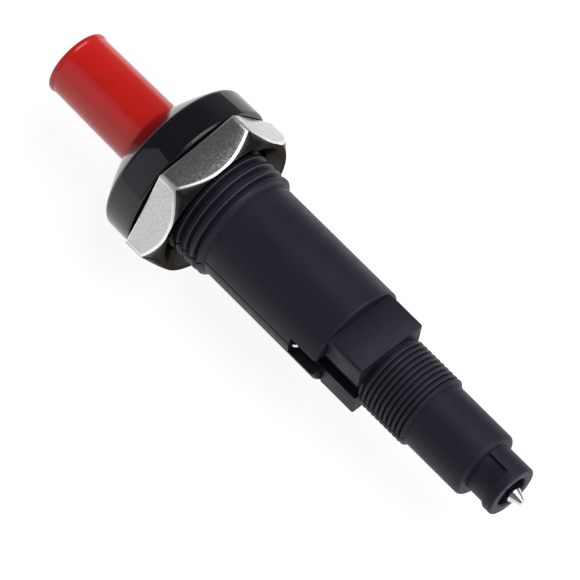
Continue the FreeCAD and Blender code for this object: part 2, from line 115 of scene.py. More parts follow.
# Nut
NUT_FLAT_R = 14.0
NUT_CORNER_R = NUT_FLAT_R / math.cos(math.radians(30))
NUT_CORNER_BREAK = 0.17
NUT_TURNED_R = NUT_CORNER_R - NUT_CORNER_BREAK
NUT_REAR_R = NUT_FLAT_R - 0.12
NUT_CHAMFER_DEG = 50.0
NUT_TURN_DEG = 8.0
NUT_CLEARANCE = 0.1
NUT_BORE_R = STEM_CREST_R + NUT_CLEARANCE
NUT_COUNTERSINK = 2.4
NUT_LEAD_IN = 0.5
NUT_EDGE = 0.28

# Button
BUTTON_ROOT_R = 6.2
BUTTON_TOP_R = 6.0
BUTTON_LIP_R = 6.19
BUTTON_LIP_HEIGHT = 0.8
BUTTON_LIP_SLOPE = 0.3
BUTTON_TOP_ROUND = 0.4
BUTTON_LIP_ROUND = 0.12
COLLAR_GAP = 0.1
COLLAR_FRONT = STOP_FACE + COLLAR_GAP
COLLAR_ROUND = 0.15
STEM_SEAT_R = 4.45
BUTTON_CORE_R = 3.0
BUTTON_TOP_WALL = 2.6

# Springs and their seats in the cam sleeve and the hammer
RETURN_COIL_R = 6.9
RETURN_WIRE_R = 0.4
IMPACT_COIL_R = 2.7
IMPACT_WIRE_R = 0.31
CAM_FLOOR = 1.6
HAMMER_PILOT = 2.0
SPRING_GAP = 0.02

# Rear insulator
SPIGOT_R = REAR_HIGH.x
SPIGOT_BORE_R = 6.95
BLOCK_HALF = 6.9
BLOCK_EDGE_R = 0.55
BLOCK_END_EDGE = 0.22
BLOCK_LENGTH = 7.7
BLOCK_FRONT = BARREL_END
BLOCK_REAR = BLOCK_FRONT + BLOCK_LENGTH
GROOVE_WIDTH = 4.1
GROOVE_DEPTH = 1.6
GROOVE_RUN_IN = 0.5
LIP_BORE_R = 6.65
CHAMBER_FRONT = 37.45
CHAMBER_R = 4.35
REAR_THREAD_LENGTH = 11.0
REAR_CREST_R = 7.0
REAR_THREAD_DEPTH = 0.6
REAR_ROOT_R = REAR_CREST_R - REAR_THREAD_DEPTH
REAR_PITCH = 1.0
NECK_R = 6.325
NECK_LENGTH = 12.3
NECK_ROUND = 0.8
NECK_FRONT = BLOCK_REAR + REAR_THREAD_LENGTH
NECK_REAR = NECK_FRONT + NECK_LENGTH
NOZZLE_R = 4.9
NOZZLE_ROOT_ROUND = 0.15
NOZZLE_ROUND = 0.35
NOZZLE_RELIEF_R = 4.4
NOZZLE_RELIEF_LENGTH = 3.4
NOZZLE_RELIEF_SLOPE = 0.9
NOZZLE_END = REAR_HIGH.y
SOCKET_R = 2.95
SOCKET_DEPTH = 9.1
SOCKET_FLOOR = NOZZLE_END - SOCKET_DEPTH
MOUTH_CHAMFER = 0.3
MOUTH_FRONT = NOZZLE_END - 0.25

# Electrode pin
CHAMBER_REAR = PIN_LOW.y
PIN_R = 1.23
PIN_PLAY = 0.02
PIN_SHANK_R = 1.6
PIN_COLLAR_R = 1.42
PIN_TIP_R = 0.5
PIN_HEAD_R = 2.6
PIN_HEAD_PLAY = 0.05
PIN_HEAD_REAR = CHAMBER_REAR + 1.4
PIN_COLLAR = PIN_HIGH.y - 2.2
PIN_COLLAR_HALF = 0.2
PIN_COLLAR_SLOPE = 0.3
PIN_COLLAR_FRONT_ROUND = 0.1
PIN_COLLAR_REAR_ROUND = 0.25
PIN_TIP_ROUND = 0.3

# Columns round a turned piece, how far cutters reach past it, and the edge angle that stays sharp
COLUMNS = 160
OVERRUN = 1.0
HAIR = 0.01
SHARP_DEG = 30.0


def rounded(points, radii, steps=5):
    """An outline with some corners turned into arcs; radii gives a corner's radius by its index."""
    outline = []
    count = len(points)
    for index, corner in enumerate(points):
        radius = radii.get(index, 0)
        if not radius:
            outline.append(corner)
            continue
        here = Vector(corner)
        back = (Vector(points[index - 1]) - here).normalized()
        onward = (Vector(points[(index + 1) % count]) - here).normalized()
        half = back.angle(onward) / 2
        centre = here + (back + onward).normalized() * radius / math.sin(half)
        first = here + back * radius / math.tan(half) - centre
        last = here + onward * radius / math.tan(half) - centre
        start = math.atan2(first.y, first.x)
        sweep = (math.atan2(last.y, last.x) - start + math.pi) % (2 * math.pi) - math.pi
        for step in range(steps + 1):
            angle = start + sweep * step / steps
            outline.append((centre.x + radius * math.cos(angle), centre.y + radius * math.sin(angle)))
    return outline


def bulged(start, end, bulge, steps=14):
    """Points between two points on a shallow arc that bulges outwards by a given height."""
    a, b = Vector(start), Vector(end)
    along = b - a
    out = Vector((-along.y, along.x)).normalized()
    points = []
    for step in range(1, steps):
        part = step / steps
        points.append(tuple(a + along * part + out * bulge * 4 * part * (1 - part)))
    return points


def made_object(name, mesh, material=None):
    """An object of a mesh, smooth but for its sharp edges."""
    mesh.shade_smooth()
    mesh.set_sharp_from_angle(angle=math.radians(SHARP_DEG))
    piece = bpy.data.objects.new(name, mesh)
    bpy.context.scene.collection.objects.link(piece)
    if material:
        mesh.materials.append(material)
    return piece


def mesh_of(bm, name):
    """A closed mesh of what a bmesh holds, its faces turned outwards."""
    bmesh.ops.remove_doubles(bm, verts=bm.verts, dist=1e-7)
    bmesh.ops.recalc_face_normals(bm, faces=bm.faces)
    mesh = bpy.data.meshes.new(name)
    bm.to_mesh(mesh)
    bm.free()
    return mesh


def lathe(name, outline, material=None, columns=COLUMNS, first_deg=0.0):
    """A closed solid turned about Y from a closed (y, radius) outline; radius 0 lies on the axis.

    first_deg is where its first column stands, from Z towards X.
    """
    bm = bmesh.new()
    rings = []
    for y, radius in outline:
        if radius < 1e-6:
            rings.append([bm.verts.new((0, y * MM, 0))])
            continue
        ring = []
        for column in range(columns):
            angle = math.radians(first_deg) + 2 * math.pi * column / columns
            x, z = math.sin(angle), math.cos(angle)
            ring.append(bm.verts.new((radius * MM * x, y * MM, radius * MM * z)))
        rings.append(ring)
    for near, far in zip(rings, rings[1:] + rings[:1]):
        for column in range(columns):
            after = (column + 1) % columns
            corners = [near[column % len(near)], near[after % len(near)]]
            corners += [far[after % len(far)], far[column % len(far)]]
            corners = list(dict.fromkeys(corners))
            if len(corners) > 2:
                bm.faces.new(corners)
    return made_object(name, mesh_of(bm, name), material)


def block(name, x, y, z, material=None):
    """A box from its (low, high) spans in millimetres."""
    bm = bmesh.new()
    bmesh.ops.create_cube(bm, size=1)
    for vertex in bm.verts:
        for axis, (low, high) in enumerate((x, y, z)):
            vertex.co[axis] = (low + (vertex.co[axis] + 0.5) * (high - low)) * MM
    return made_object(name, mesh_of(bm, name), material)


def prism(name, outline, y, material=None):
    """A solid pushed along Y from a closed (x, z) outline in millimetres."""
    bm = bmesh.new()
    ends = [[bm.verts.new((x * MM, station * MM, z * MM)) for x, z in outline] for station in y]
    bm.faces.new(ends[0])
    bm.faces.new(ends[1])
    for index in range(len(outline)):
        after = (index + 1) % len(outline)
        bm.faces.new([ends[0][index], ends[0][after], ends[1][after], ends[1][index]])
    return made_object(name, mesh_of(bm, name), material)


def settle(piece):
    """Bakes a piece's modifiers into its mesh."""
    bpy.context.view_layer.update()
    evaluated = piece.evaluated_get(bpy.context.evaluated_depsgraph_get())
    mesh = bpy.data.meshes.new_from_object(evaluated)
    piece.modifiers.clear()
    piece.data = mesh
    mesh.shade_smooth()
    mesh.set_sharp_from_angle(angle=math.radians(SHARP_DEG))
    return piece


def join_or_cut(piece, tool, operation):
    """A solid union, difference or intersection, after which the tool is gone."""
    modifier = piece.modifiers.new("solid", "BOOLEAN")
    modifier.operation = operation
    modifier.solver = "EXACT"
    modifier.object = tool
    settle(piece)
    bpy.data.objects.remove(tool)
    return piece


def bevelled(piece, width, angle_deg, segments):
    """A piece with the edges that are sharper than an angle bevelled."""
    modifier = piece.modifiers.new("edges", "BEVEL")
    modifier.width = width * MM
    modifier.segments = segments
    modifier.limit_method = "ANGLE"
    modifier.angle_limit = math.radians(angle_deg)
    modifier.harden_normals = False
    return settle(piece)


# Materials

MATTE_SPECULAR = 0.22
POLISHED_SPECULAR = 0.5
POLISHED_ROUGHNESS = 0.045
POLISHED_BLACK = (0.006, 0.006, 0.009)
# One lighter black for the plastic's real specks, also used to paint the highlight on the thread's crest
# edges.
SPECK_AND_CREST_HIGHLIGHT_BLACK = (0.065, 0.065, 0.075)
GRAIN_BUMP = 0.10
# Painted reflection: the nut's rear faces get a dark colour and a dimmed reflection tint in place of the
# bright floor they would mirror.
NUT_REAR_PAINTED_REFLECTION = (0.045, 0.043, 0.040)
NUT_REAR_PAINTED_REFLECTION_TINT = (0.42, 0.41, 0.40)


def shader(name, **sockets):
    """A Principled material with plain values on its own sockets."""
    material = bpy.data.materials.new(name)
    material.use_nodes = True
    surface = material.node_tree.nodes["Principled BSDF"]
    for socket, value in sockets.items():
        surface.inputs[socket.replace("_", " ")].default_value = value
    return material


def node(material, kind, **values):
    made = material.node_tree.nodes.new(kind)
    for key, value in values.items():
        if key in made.inputs:
            made.inputs[key].default_value = value
        else:
            setattr(made, key, value)
    return made


def link(material, out, into):
    material.node_tree.links.new(out, into)


def object_place(material):
    return node(material, "ShaderNodeTexCoord").outputs["Object"]


def noise(material, scale, detail=2.0, roughness=0.5):
    """Noise on Object coordinates; scale is in cells per millimetre."""
    made = node(material, "ShaderNodeTexNoise", Scale=scale / MM, Detail=detail, Roughness=roughness)
    link(material, object_place(material), made.inputs["Vector"])
    return made.outputs["Fac"]


def ramp(material, source, stops):
    """A colour ramp through (position, colour) stops."""
    made = node(material, "ShaderNodeValToRGB")
    elements = made.color_ramp.elements
    while len(elements) < len(stops):
        elements.new(0.5)
    for element, (position, colour) in zip(elements, stops):
        element.position = position
        element.color = (*colour, 1.0)
    link(material, source, made.inputs["Fac"])
    return made.outputs["Color"]


def grey(level):
    return (level, level, level)


def surface_of(material):
    return material.node_tree.nodes["Principled BSDF"]


def bump(material, height, strength, distance):
    made = node(material, "ShaderNodeBump", Strength=strength, Distance=distance * MM)
    link(material, height, made.inputs["Height"])
    link(material, made.outputs["Normal"], surface_of(material).inputs["Normal"])


def along_axis(material):
    """The Y place on a piece, in metres."""
    split = node(material, "ShaderNodeSeparateXYZ")
    link(material, object_place(material), split.inputs["Vector"])
    return split.outputs["Y"]


def blend(material, share, first, second):
    """A colour between first and second by share; each is a colour or another node's output."""
    made = node(material, "ShaderNodeMix", data_type="RGBA")
    link(material, share, made.inputs["Factor"])
    for socket, value in ((made.inputs[6], first), (made.inputs[7], second)):
        if isinstance(value, tuple):
            socket.default_value = (*value, 1)
        else:
            link(material, value, socket)
    return made.outputs[2]


def black_body(material):
    """Blue-black plastic, lighter in its specks, and lighter along the thread's crest edges as a painted
    highlight.
    """
    flecks = noise(material, 2.6, 3.0)
    specks = ramp(material, flecks, [(0.0, grey(0.0)), (0.775, grey(0.0)), (0.80, grey(1.0))])
    clouds = noise(material, 0.12, 3.0)
    body = ramp(material, clouds, [(0.3, (0.0155, 0.0155, 0.027)), (0.7, (0.0200, 0.0200, 0.035))])
    # Painted highlight: the crest-edge faces that the thread tree marks are lightened to stand in for
    # the light they catch.
    painted_crest_highlight = node(material, "ShaderNodeAttribute", attribute_name="painted_crest_highlight").outputs["Fac"]
    specks_and_crest_highlight = node(material, "ShaderNodeMath", operation="MAXIMUM")
    link(material, specks, specks_and_crest_highlight.inputs[0])
    link(material, painted_crest_highlight, specks_and_crest_highlight.inputs[1])
    return blend(material, specks_and_crest_highlight.outputs[0], body, SPECK_AND_CREST_HIGHLIGHT_BLACK)


def moulded_black(name, roughness, gloss_before=None):
    """Black glass-filled plastic with a fine grain and a few light specks.

    The part of it in front of the station gloss_before is polished.
    """
    material = shader(name, Metallic=0.0, IOR=1.5, Specular_IOR_Level=MATTE_SPECULAR)
    surface = surface_of(material)
    body = black_body(material)
    ends = [(0.3, grey(roughness - 0.05)), (0.7, grey(roughness + 0.06))]
    grain = ramp(material, noise(material, 0.5, 4.0), ends)
    bump(material, noise(material, 7.0, 2.0), GRAIN_BUMP, 0.012)
    if gloss_before is None:
        link(material, body, surface.inputs["Base Color"])
        link(material, grain, surface.inputs["Roughness"])
    else:
        polish_front(material, gloss_before, body, grain)
    return material


def polish_front(material, station, body, grain):
    """Deeper black and smooth before a station, the moulded finish behind it."""
    surface = surface_of(material)
    behind = node(material, "ShaderNodeMath", operation="GREATER_THAN")
    link(material, along_axis(material), behind.inputs[0])
    behind.inputs[1].default_value = station * MM
    behind = behind.outputs[0]
    finish = node(material, "ShaderNodeMix", data_type="FLOAT")
    link(material, behind, finish.inputs[0])
    finish.inputs[2].default_value = POLISHED_ROUGHNESS
    link(material, grain, finish.inputs[3])
    link(material, finish.outputs[0], surface.inputs["Roughness"])
    strength = node(material, "ShaderNodeMath", operation="MULTIPLY")
    link(material, behind, strength.inputs[0])
    strength.inputs[1].default_value = GRAIN_BUMP
    link(material, strength.outputs[0], material.node_tree.nodes["Bump"].inputs["Strength"])
    ends = [(0.0, grey(POLISHED_SPECULAR)), (1.0, grey(MATTE_SPECULAR))]
    link(material, ramp(material, behind, ends), surface.inputs["Specular IOR Level"])
    colour = blend(material, behind, POLISHED_BLACK, body)
    link(material, colour, surface.inputs["Base Color"])


def glossy_red():
    """Red plastic with faint flow marks and an uneven gloss."""
    material = shader("button_red", Metallic=0.0, IOR=1.5)
    surface = surface_of(material)
    ends = [(0.3, (0.70, 0.012, 0.007)), (0.7, (0.78, 0.015, 0.009))]
    colour = ramp(material, noise(material, 0.10, 2.0), ends)
    link(material, colour, surface.inputs["Base Color"])
    finish = ramp(material, noise(material, 0.7, 5.0, 0.7), [(0.35, grey(0.16)), (0.7, grey(0.24))])
    link(material, finish, surface.inputs["Roughness"])
    bump(material, noise(material, 0.25, 3.0), 0.12, 0.02)
    return material


def nut_plate():
    """Nickel plate over a cast nut: pitted satin flats, and a rear painted dark as a painted reflection
    of dark surroundings.
    """
    material = shader("nut_nickel", Metallic=1.0)
    surface = surface_of(material)
    ends = [(0.38, (0.48, 0.47, 0.46)), (0.62, (0.58, 0.57, 0.565))]
    flats = ramp(material, noise(material, 2.4, 4.0, 0.6), ends)
    turned = node(material, "ShaderNodeSeparateXYZ")
    link(material, node(material, "ShaderNodeTexCoord").outputs["Normal"], turned.inputs["Vector"])
    # Faces that look rearwards take the dark colour and dimmed tint, a painted dark reflection.
    rear = ramp(material, turned.outputs["Y"], [(0.5, grey(0.0)), (0.62, grey(1.0))])
    tint = ramp(material, rear, [(0.0, grey(1.0)), (1.0, NUT_REAR_PAINTED_REFLECTION_TINT)])
    link(material, tint, surface.inputs["Specular Tint"])
    link(material, blend(material, rear, flats, NUT_REAR_PAINTED_REFLECTION), surface.inputs["Base Color"])
    finish = ramp(material, noise(material, 2.2, 4.0, 0.6), [(0.35, grey(0.16)), (0.7, grey(0.30))])
    link(material, finish, surface.inputs["Roughness"])
    bump(material, noise(material, 3.2, 5.0, 0.65), 0.16, 0.03)
    return material


def metal(name, colour, roughness, grain=1.5):
    """Turned or plated metal with a fine uneven finish."""
    material = shader(name, Metallic=1.0)
    surface = surface_of(material)
    darker = tuple(0.85 * part for part in colour)
    tint = ramp(material, noise(material, grain * 0.3, 3.0), [(0.3, darker), (0.7, colour)])
    link(material, tint, surface.inputs["Base Color"])
    low, high = grey(max(0.03, roughness - 0.05)), grey(roughness + 0.06)
    finish = ramp(material, noise(material, grain, 4.0), [(0.3, low), (0.7, high)])
    link(material, finish, surface.inputs["Roughness"])
    bump(material, noise(material, grain * 3, 3.0), 0.08, 0.01)
    return material


def pale_plastic(name, colour, roughness):
    """Natural plastic with slight clouding."""
    material = shader(name, Metallic=0.0, IOR=1.5)
    surface = surface_of(material)
    darker = tuple(0.9 * part for part in colour)
    tint = ramp(material, noise(material, 0.2, 3.0), [(0.3, darker), (0.7, colour)])
    link(material, tint, surface.inputs["Base Color"])
    low, high = grey(roughness - 0.06), grey(roughness + 0.06)
    finish = ramp(material, noise(material, 1.0, 3.0), [(0.3, low), (0.7, high)])
    link(material, finish, surface.inputs["Roughness"])
    bump(material, noise(material, 2.0, 3.0), 0.06, 0.01)
    return material


BODY_BLACK = moulded_black("body_black", 0.46, gloss_before=0.2)
REAR_BLACK = moulded_black("rear_black", 0.50)
RED = glossy_red()
NUT_NICKEL = nut_plate()
# The nut's flat edges are really rounded; their near-white colour is a painted highlight.
NUT_EDGE_HIGHLIGHT = metal("nut_burnished_edge", (0.95, 0.94, 0.90), 0.34)
PIN_NICKEL = metal("pin_nickel", (0.72, 0.73, 0.75), 0.16)
STRIP_NICKEL = metal("strip_nickel", (0.82, 0.80, 0.76), 0.14)
STEEL = metal("turned_steel", (0.52, 0.52, 0.54), 0.28)
SPRING_STEEL = metal("spring_wire", (0.60, 0.60, 0.60), 0.22)
BRASS = metal("bare_brass", (0.76, 0.58, 0.28), 0.25)
ACETAL = pale_plastic("white_acetal", (0.80, 0.79, 0.74), 0.42)
NYLON = pale_plastic("natural_nylon", (0.70, 0.67, 0.58), 0.48)
CERAMIC = pale_plastic("fired_ceramic", (0.52, 0.47, 0.36), 0.62)


# Geometry Nodes

THREAD_ROWS = 6
THREAD_VALUES = (
    "Crest Radius", "Root Radius", "Inner Radius", "Pitch", "Crest Width", "Root Width",
    "Edge Break", "Start", "End", "End Slope", "Notch Place", "Notch Width", "Notch Depth",
)
COIL_VALUES = ("Coil Radius", "Wire Radius", "Start", "End", "Closed Rise")
NOT_LENGTHS = (
    "Turns", "Columns", "Steps", "Sides", "End Slope", "Notch Place", "Notch Width",
)


def new_tree(name, values, counts):
    """A tree with number inputs, whole-number inputs with their usual counts, and a material."""
    tree = bpy.data.node_groups.new(name, "GeometryNodeTree")
    tree.interface.new_socket("Geometry", in_out="OUTPUT", socket_type="NodeSocketGeometry")
    for value in values:
        tree.interface.new_socket(value, in_out="INPUT", socket_type="NodeSocketFloat")
    for count, usual in counts.items():
        socket = tree.interface.new_socket(count, in_out="INPUT", socket_type="NodeSocketInt")
        socket.default_value = usual
    tree.interface.new_socket("Material", in_out="INPUT", socket_type="NodeSocketMaterial")
    return tree, tree.nodes.new("NodeGroupInput").outputs


def calc(tree, operation, *values):
    """One Math node; a value is a number or another node's output."""
    made = tree.nodes.new("ShaderNodeMath")
    made.operation = operation
    for socket, value in zip(made.inputs, values):
        if isinstance(value, bpy.types.NodeSocket):
            tree.links.new(value, socket)
        else:
            socket.default_value = value
    return made.outputs[0]


def picked(tree, index, values):
    """The value that an index picks from a list."""
    made = tree.nodes.new("GeometryNodeIndexSwitch")
    made.data_type = "FLOAT"
    while len(made.index_switch_items) < len(values):
        made.index_switch_items.new()
    tree.links.new(index, made.inputs["Index"])
    for socket, value in zip(made.inputs[1:], values):
        tree.links.new(value, socket)
    return made.outputs[0]


def place_of(tree):
    """The X, Y and Z of each point or face."""
    split = tree.nodes.new("ShaderNodeSeparateXYZ")
    tree.links.new(tree.nodes.new("GeometryNodeInputPosition").outputs[0], split.inputs[0])
    return split.outputs


def wrapped(tree, geometry, radius, along, turn):
    """Points moved to a radius, a place along the axis and a number of turns round it."""
    angle = calc(tree, "MULTIPLY", turn, 2 * math.pi)
    place = tree.nodes.new("ShaderNodeCombineXYZ")
    tree.links.new(calc(tree, "MULTIPLY", radius, calc(tree, "SINE", angle)), place.inputs["X"])
    tree.links.new(along, place.inputs["Y"])
    tree.links.new(calc(tree, "MULTIPLY", radius, calc(tree, "COSINE", angle)), place.inputs["Z"])
    move = tree.nodes.new("GeometryNodeSetPosition")
    tree.links.new(geometry, move.inputs["Geometry"])
    tree.links.new(place.outputs[0], move.inputs["Position"])
    return move.outputs[0]


def ending(tree, geometry, material):
    """Realize Instances, Set Material and the output, as every tree ends."""
    realize = tree.nodes.new("GeometryNodeRealizeInstances")
    paint = tree.nodes.new("GeometryNodeSetMaterial")
    out = tree.nodes.new("NodeGroupOutput")
    tree.links.new(geometry, realize.inputs[0])
    tree.links.new(realize.outputs[0], paint.inputs["Geometry"])
    tree.links.new(material, paint.inputs["Material"])
    tree.links.new(paint.outputs[0], out.inputs[0])


def grid_line(tree, place, last):
    """The number of a grid's line, counted from its edge, by its place from the middle."""
    return calc(tree, "ROUND", calc(tree, "ADD", place, calc(tree, "MULTIPLY", last, 0.5)))


def thread_grid(tree, given):
    """A flat grid, the row and the turn of each of its points, and the number of its last row."""
    columns = given["Columns"]
    last_row = calc(tree, "ADD", calc(tree, "MULTIPLY", given["Turns"], THREAD_ROWS), 2)
    grid = tree.nodes.new("GeometryNodeMeshGrid")
    tree.links.new(last_row, grid.inputs["Size X"])
    tree.links.new(columns, grid.inputs["Size Y"])
    tree.links.new(calc(tree, "ADD", last_row, 1), grid.inputs["Vertices X"])
    tree.links.new(calc(tree, "ADD", columns, 1), grid.inputs["Vertices Y"])
    place = place_of(tree)
    row = grid_line(tree, place["X"], last_row)
    turn = calc(tree, "DIVIDE", grid_line(tree, place["Y"], columns), columns)
    return grid.outputs["Mesh"], row, turn, last_row


def thread_profile(tree, given, row):
    """The number of a row's pitch, its offset from that pitch's crest, and its radius."""
    thread_row = calc(tree, "SUBTRACT", row, 1)
    pitches = calc(tree, "DIVIDE", calc(tree, "ADD", thread_row, 0.01), THREAD_ROWS)
    pitch_number = calc(tree, "FLOOR", pitches)
    rows_before = calc(tree, "MULTIPLY", pitch_number, THREAD_ROWS)
    step = calc(tree, "ROUND", calc(tree, "SUBTRACT", thread_row, rows_before))
    half_crest = calc(tree, "MULTIPLY", given["Crest Width"], 0.5)
    half_root = calc(tree, "MULTIPLY", given["Root Width"], 0.5)
    half_pitch = calc(tree, "MULTIPLY", given["Pitch"], 0.5)
    outer_crest = calc(tree, "ADD", half_crest, calc(tree, "MULTIPLY", given["Edge Break"], 0.5))
    inner_crest = calc(tree, "SUBTRACT", half_crest, given["Edge Break"])
    offset = picked(tree, step, [
        calc(tree, "MULTIPLY", outer_crest, -1),
        calc(tree, "MULTIPLY", inner_crest, -1),
        inner_crest,
        outer_crest,
        calc(tree, "SUBTRACT", half_pitch, half_root),
        calc(tree, "ADD", half_pitch, half_root),
    ])
    broken = calc(tree, "SUBTRACT", given["Crest Radius"], given["Edge Break"])
    crest, root = given["Crest Radius"], given["Root Radius"]
    radius = picked(tree, step, [broken, crest, crest, broken, root, root])
    return pitch_number, offset, radius


def climb(tree, given, pitch_number, turn, offset):
    """The place along the axis, cut off at both ends of the thread."""
    pitches = calc(tree, "ADD", calc(tree, "SUBTRACT", pitch_number, 1), turn)
    rise = calc(tree, "MULTIPLY", given["Pitch"], pitches)
    along = calc(tree, "ADD", given["Start"], calc(tree, "ADD", rise, offset))
    return calc(tree, "MAXIMUM", given["Start"], calc(tree, "MINIMUM", given["End"], along))


def run_out(tree, given, along, radius):
    """A radius that narrows to the root towards both ends of the thread."""
    slope = given["End Slope"]
    from_end = calc(tree, "MULTIPLY", calc(tree, "SUBTRACT", given["End"], along), slope)
    from_start = calc(tree, "MULTIPLY", calc(tree, "SUBTRACT", along, given["Start"]), slope)
    nearer = calc(tree, "MINIMUM", from_end, from_start)
    return calc(tree, "MINIMUM", radius, calc(tree, "ADD", given["Root Radius"], nearer))


def notch(tree, given, turn, radius):
    """The mould's mismatch, a shallow notch across the crests."""
    aside = calc(tree, "SUBTRACT", calc(tree, "MULTIPLY", turn, 360), given["Notch Place"])
    notched = calc(tree, "LESS_THAN", calc(tree, "ABSOLUTE", aside), given["Notch Width"])
    depth = calc(tree, "MULTIPLY", notched, given["Notch Depth"])
    lowest = calc(tree, "MINIMUM", radius, given["Root Radius"])
    return calc(tree, "MAXIMUM", calc(tree, "SUBTRACT", radius, depth), lowest)


def close_ring(tree, given, row, last_row, along, radius):
    """The first row and the last two brought to the inside, where they close the ring."""
    first = calc(tree, "LESS_THAN", row, 0.5)
    final = calc(tree, "GREATER_THAN", row, calc(tree, "SUBTRACT", last_row, 0.5))
    last_two = calc(tree, "GREATER_THAN", row, calc(tree, "SUBTRACT", last_row, 1.5))
    inside = calc(tree, "MAXIMUM", first, last_two)
    keep = calc(tree, "SUBTRACT", 1, inside)
    inner = calc(tree, "MULTIPLY", given["Inner Radius"], inside)
    radius = calc(tree, "ADD", calc(tree, "MULTIPLY", radius, keep), inner)
    at_start = calc(tree, "MULTIPLY", given["Start"], calc(tree, "MAXIMUM", first, final))
    at_end = calc(tree, "MULTIPLY", given["End"], calc(tree, "SUBTRACT", last_two, final))
    ends = calc(tree, "ADD", at_start, at_end)
    along = calc(tree, "ADD", calc(tree, "MULTIPLY", along, keep), ends)
    return along, radius


def mark_crest_highlight(tree, given, geometry):
    """Marks the narrow faces on both crest edges for a painted highlight, but for the thread's ends."""
    place = place_of(tree)
    x_squared = calc(tree, "POWER", calc(tree, "ABSOLUTE", place["X"]), 2)
    z_squared = calc(tree, "POWER", calc(tree, "ABSOLUTE", place["Z"]), 2)
    radius = calc(tree, "SQRT", calc(tree, "ADD", x_squared, z_squared))
    crest, root = given["Crest Radius"], given["Root Radius"]
    share = calc(tree, "DIVIDE", calc(tree, "SUBTRACT", crest, radius), given["Edge Break"])
    from_middle = calc(tree, "ABSOLUTE", calc(tree, "SUBTRACT", share, 0.5))
    edge = calc(tree, "LESS_THAN", from_middle, 0.3)
    fade = calc(tree, "MULTIPLY", calc(tree, "SUBTRACT", crest, root), 1.3)
    after = calc(tree, "GREATER_THAN", place["Y"], calc(tree, "ADD", given["Start"], fade))
    before = calc(tree, "LESS_THAN", place["Y"], calc(tree, "SUBTRACT", given["End"], fade))
    # 1 on the crest-edge faces that get the painted highlight, 0 elsewhere.
    painted_crest_highlight = calc(tree, "MULTIPLY", edge, calc(tree, "MULTIPLY", after, before))
    store = tree.nodes.new("GeometryNodeStoreNamedAttribute")
    store.domain = "FACE"
    store.inputs["Name"].default_value = "painted_crest_highlight"
    tree.links.new(geometry, store.inputs["Geometry"])
    tree.links.new(painted_crest_highlight, store.inputs["Value"])
    return store.outputs[0]


def thread_tree():
    """A ring with a helical thread outside, all lengths in metres.

    A grid of rows and columns is wrapped round the axis. Six rows make one pitch: two on each rounded
    crest edge and two on the root. A column climbs one pitch in a turn, so the seam closes.
    """
    tree, given = new_tree("screw_thread", THREAD_VALUES, {"Turns": 6, "Columns": 192})
    flat, row, turn, last_row = thread_grid(tree, given)
    pitch_number, offset, radius = thread_profile(tree, given, row)
    along = climb(tree, given, pitch_number, turn, offset)
    radius = notch(tree, given, turn, run_out(tree, given, along, radius))
    along, radius = close_ring(tree, given, row, last_row, along, radius)
    merge = tree.nodes.new("GeometryNodeMergeByDistance")
    merge.inputs["Distance"].default_value = 1e-6
    tree.links.new(wrapped(tree, flat, radius, along, turn), merge.inputs["Geometry"])
    ending(tree, mark_crest_highlight(tree, given, merge.outputs[0]), given["Material"])
    return tree


def coil_climb(tree, given, turn):
    """The place along the axis: a closed turn at each end and open ones between."""
    first = calc(tree, "ADD", given["Start"], given["Wire Radius"])
    last = calc(tree, "SUBTRACT", given["End"], given["Wire Radius"])
    both_closed = calc(tree, "MULTIPLY", given["Closed Rise"], 2)
    free = calc(tree, "SUBTRACT", calc(tree, "SUBTRACT", last, first), both_closed)
    rise = calc(tree, "DIVIDE", free, given["Turns"])
    front = calc(tree, "MINIMUM", turn, 1)
    opened = calc(tree, "MINIMUM", calc(tree, "SUBTRACT", turn, 1), given["Turns"])
    middle = calc(tree, "MAXIMUM", 0, opened)
    past = calc(tree, "SUBTRACT", turn, calc(tree, "ADD", given["Turns"], 1))
    back = calc(tree, "MAXIMUM", 0, past)
    closed = calc(tree, "MULTIPLY", given["Closed Rise"], calc(tree, "ADD", front, back))
    climbed = calc(tree, "ADD", closed, calc(tree, "MULTIPLY", middle, rise))
    return calc(tree, "ADD", first, climbed)


def coil_tree():
    """A coil of round wire with one closed turn at each end, all lengths in metres."""
    tree, given = new_tree("coil_spring", COIL_VALUES, {"Turns": 6, "Steps": 36, "Sides": 14})
    all_turns = calc(tree, "ADD", given["Turns"], 2)
    line = tree.nodes.new("GeometryNodeCurvePrimitiveLine")
    points = tree.nodes.new("GeometryNodeResampleCurve")
    tree.links.new(line.outputs[0], points.inputs["Curve"])
    count = calc(tree, "ADD", calc(tree, "MULTIPLY", all_turns, given["Steps"]), 1)
    tree.links.new(count, points.inputs["Count"])
    part = tree.nodes.new("GeometryNodeSplineParameter").outputs["Factor"]
    turn = calc(tree, "MULTIPLY", part, all_turns)
    along = coil_climb(tree, given, turn)
    path = wrapped(tree, points.outputs[0], given["Coil Radius"], along, turn)
    ring = tree.nodes.new("GeometryNodeCurvePrimitiveCircle")
    tree.links.new(given["Sides"], ring.inputs["Resolution"])
    tree.links.new(given["Wire Radius"], ring.inputs["Radius"])
    wire = tree.nodes.new("GeometryNodeCurveToMesh")
    wire.inputs["Fill Caps"].default_value = True
    tree.links.new(path, wire.inputs["Curve"])
    tree.links.new(ring.outputs[0], wire.inputs["Profile Curve"])
    ending(tree, wire.outputs[0], given["Material"])
    return tree


def grown(name, tree, material, **values):
    """A piece made by a tree; lengths are given in millimetres."""
    piece = bpy.data.objects.new(name, bpy.data.meshes.new(name))
    bpy.context.scene.collection.objects.link(piece)
    modifier = piece.modifiers.new(name, "NODES")
    modifier.node_group = tree
    for socket in tree.interface.items_tree:
        if socket.in_out != "INPUT":
            continue
        key = socket.name.replace(" ", "_")
        if key == "Material":
            modifier[socket.identifier] = material
        elif key in values:
            scale = 1 if socket.name in NOT_LENGTHS else MM
            modifier[socket.identifier] = values[key] * scale
    settle(piece)
    bm = bmesh.new()
    bm.from_mesh(piece.data)
    bmesh.ops.recalc_face_normals(bm, faces=bm.faces)
    bm.to_mesh(piece.data)
    bm.free()
    return piece


# Pieces

